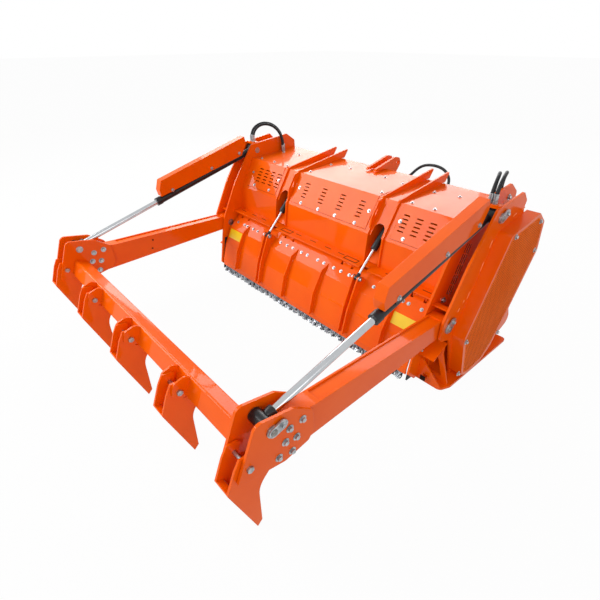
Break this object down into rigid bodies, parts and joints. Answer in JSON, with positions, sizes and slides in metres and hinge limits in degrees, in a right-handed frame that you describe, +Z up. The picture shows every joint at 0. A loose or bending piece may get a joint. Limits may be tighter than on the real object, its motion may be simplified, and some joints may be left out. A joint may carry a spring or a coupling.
{
  "type": "forestry mulcher",
  "caption": "Tractor-mounted forestry mulcher with a toothed rotor in a steel hood, hydraulic door with chains, and a hydraulic push frame carrying pointed claws.",
  "frame": {"origin": "middle of the machine's box on the ground under the skids", "axes": "+X to the machine's right side as seen from its front, +Y from the push frame to the tractor's hitch, +Z up"},
  "size_m": [2.642, 2.604, 1.2993],
  "materials": {
    "orange enamel": "glossy orange enamel, lightly dusted",
    "black enamel": "satin black enamel",
    "chrome rod": "ground and polished",
    "black rubber": "matt black rubber",
    "bare steel": "machined, lightly oiled",
    "zinc steel": "bright zinc plate",
    "chain steel": "dark hardened chain",
    "tool steel": "hardened tooth steel with worn tips"
  },
  "bodies": {
    "mulcher": {"side_plate_inner_left": "orange enamel", "side_plate_outer_left": "orange enamel", "drive_guard_left": "orange enamel", "skid_left": "orange enamel", "hood_ribs_left": "orange enamel", "side_plate_inner_right": "orange enamel", "side_plate_outer_right": "orange enamel", "drive_guard_right": "orange enamel", "skid_right": "orange enamel", "hood_ribs_right": "orange enamel", "hood_left": "orange enamel", "hood_middle": "orange enamel", "hood_right": "orange enamel", "hinge_beam": "orange enamel", "chamber_wall": "orange enamel", "rear_beam": "orange enamel", "lower_hitch": "orange enamel", "top_link_mast": "orange enamel", "cross_shaft": "orange enamel", "service_covers": "orange enamel", "bay_blocks": "orange enamel", "gearbox": "black enamel", "rotor_bearings": "black enamel", "pivot_pins": "zinc steel", "rear_chains": "chain steel", "side_flaps": "black rubber", "hoses": "black rubber"},
    "push_frame": {"cross_tube": "orange enamel", "claws": "orange enamel", "frame_pins": "zinc steel", "bracket_left": "orange enamel", "bracket_right": "orange enamel", "arm_left": "orange enamel", "arm_right": "orange enamel"},
    "door": {"door_panel": "orange enamel", "door_chains": "chain steel"},
    "rotor": {"rotor_drum": "orange enamel", "rotor_teeth": "tool steel"},
    "input_shaft": {"input_shaft": "bare steel"},
    "push_cylinder_left": {"push_barrel_left": "black enamel", "cylinder_cover_left": "orange enamel"},
    "push_rod_left": {"push_rod_left": "chrome rod"},
    "door_cylinder_left": {"door_barrel_left": "black enamel"},
    "door_rod_left": {"door_rod_left": "chrome rod"},
    "push_cylinder_right": {"push_barrel_right": "black enamel", "cylinder_cover_right": "orange enamel"},
    "push_rod_right": {"push_rod_right": "chrome rod"},
    "door_cylinder_right": {"door_barrel_right": "black enamel"},
    "door_rod_right": {"door_rod_right": "chrome rod"}
  },
  "joints": [
    {"name": "push_frame_lift", "type": "hinge", "parent": "mulcher", "child": "push_frame", "pos_m": [0, 0.2775, 0.464], "axis": [-1, 0, 0], "range_deg": [0, 42]},
    {"name": "door_lift", "type": "hinge", "parent": "mulcher", "child": "door", "pos_m": [0, 0.386, 0.514], "axis": [-1, 0, 0], "range_deg": [0, 50]},
    {"name": "rotor_turn", "type": "hinge", "parent": "mulcher", "child": "rotor", "pos_m": [0, 0.547, 0.3], "axis": [-1, 0, 0], "continuous": true},
    {"name": "input_turn", "type": "hinge", "parent": "mulcher", "child": "input_shaft", "pos_m": [0, 1.202, 0.77], "axis": [0, 1, 0], "continuous": true},
    {"name": "push_cylinder_swing_left", "type": "hinge", "parent": "mulcher", "child": "push_cylinder_left", "pos_m": [-1.165, 0.631, 1.072], "axis": [-1, 0, 0], "range_deg": [0, 33.16]},
    {"name": "push_rod_slide_left", "type": "slide", "parent": "push_cylinder_left", "child": "push_rod_left", "axis": [0, -0.9631, -0.2693], "range_m": [-0.4427, 0]},
    {"name": "door_cylinder_swing_left", "type": "hinge", "parent": "mulcher", "child": "door_cylinder_left", "pos_m": [-0.508, 0.658, 0.936], "axis": [-1, 0, 0], "range_deg": [0, 3.96]},
    {"name": "door_rod_slide_left", "type": "slide", "parent": "door_cylinder_left", "child": "door_rod_left", "axis": [0, -0.6842, -0.7293], "range_m": [-0.0985, 0]},
    {"name": "push_cylinder_swing_right", "type": "hinge", "parent": "mulcher", "child": "push_cylinder_right", "pos_m": [1.165, 0.631, 1.072], "axis": [-1, 0, 0], "range_deg": [0, 33.16]},
    {"name": "push_rod_slide_right", "type": "slide", "parent": "push_cylinder_right", "child": "push_rod_right", "axis": [0, -0.9631, -0.2693], "range_m": [-0.4427, 0]},
    {"name": "door_cylinder_swing_right", "type": "hinge", "parent": "mulcher", "child": "door_cylinder_right", "pos_m": [0.508, 0.658, 0.936], "axis": [-1, 0, 0], "range_deg": [0, 3.96]},
    {"name": "door_rod_slide_right", "type": "slide", "parent": "door_cylinder_right", "child": "door_rod_right", "axis": [0, -0.6842, -0.7293], "range_m": [-0.0985, 0]}
  ],
  "couplings": [
    {"joint": "input_turn", "follows": "rotor_turn", "ratio": 0.5},
    {"joint": "push_cylinder_swing_left", "follows": "push_frame_lift", "ratio": 0.78236},
    {"joint": "push_rod_slide_left", "follows": "push_frame_lift", "m_per_rad": -0.60121},
    {"joint": "door_cylinder_swing_left", "follows": "door_lift", "ratio": 0.07324},
    {"joint": "door_rod_slide_left", "follows": "door_lift", "m_per_rad": -0.11176},
    {"joint": "push_cylinder_swing_right", "follows": "push_frame_lift", "ratio": 0.78236},
    {"joint": "push_rod_slide_right", "follows": "push_frame_lift", "m_per_rad": -0.60121},
    {"joint": "door_cylinder_swing_right", "follows": "door_lift", "ratio": 0.07324},
    {"joint": "door_rod_slide_right", "follows": "door_lift", "m_per_rad": -0.11176}
  ]
}
